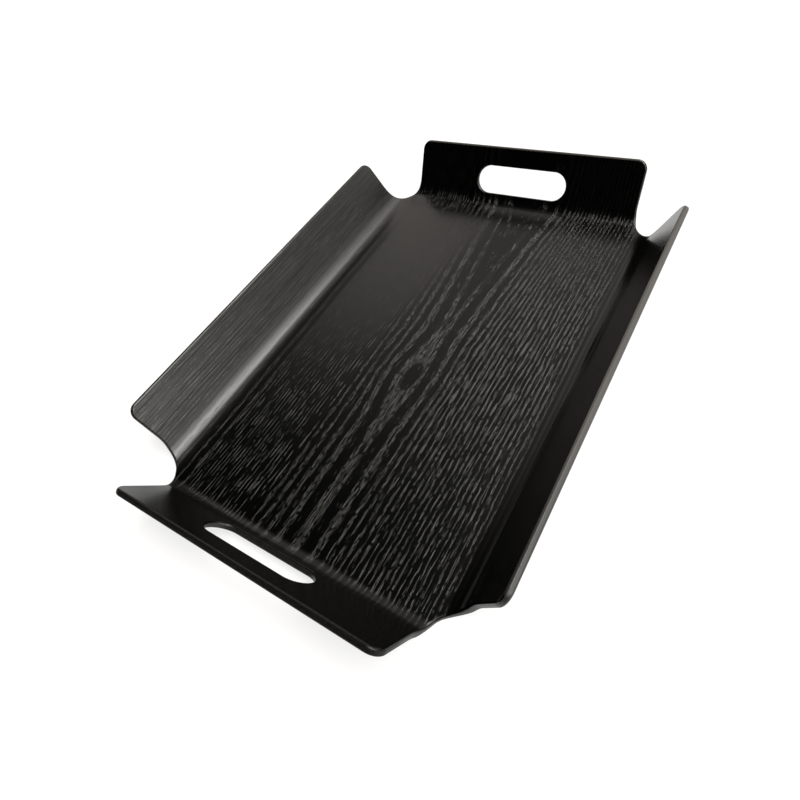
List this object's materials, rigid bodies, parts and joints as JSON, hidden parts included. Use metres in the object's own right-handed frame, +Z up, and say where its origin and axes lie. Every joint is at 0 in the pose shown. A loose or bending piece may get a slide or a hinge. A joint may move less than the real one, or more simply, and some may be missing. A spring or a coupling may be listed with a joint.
{
  "type": "serving tray",
  "caption": "Rectangular serving tray pressed from black-stained plywood, with flared walls, open rounded corner notches and a stadium hand slot in each end wall.",
  "frame": {"origin": "centre of the flat underside, on the surface that the tray stands on", "axes": "+X along the length, from one hand slot to the other; +Y across the width; +Z up"},
  "size_m": [0.4504, 0.3166, 0.0488],
  "materials": {
    "black_veneer": "satin black stain with open grain",
    "stained_cross_ply": "black-stained end grain at the sheet's edge",
    "stained_centre_ply": "black-stained long grain at the sheet's edge"
  },
  "bodies": {
    "root": {"face_veneer": "black_veneer", "upper_cross_ply": "stained_cross_ply", "centre_ply": "stained_centre_ply", "lower_cross_ply": "stained_cross_ply", "back_veneer": "black_veneer"}
  },
  "joints": []
}
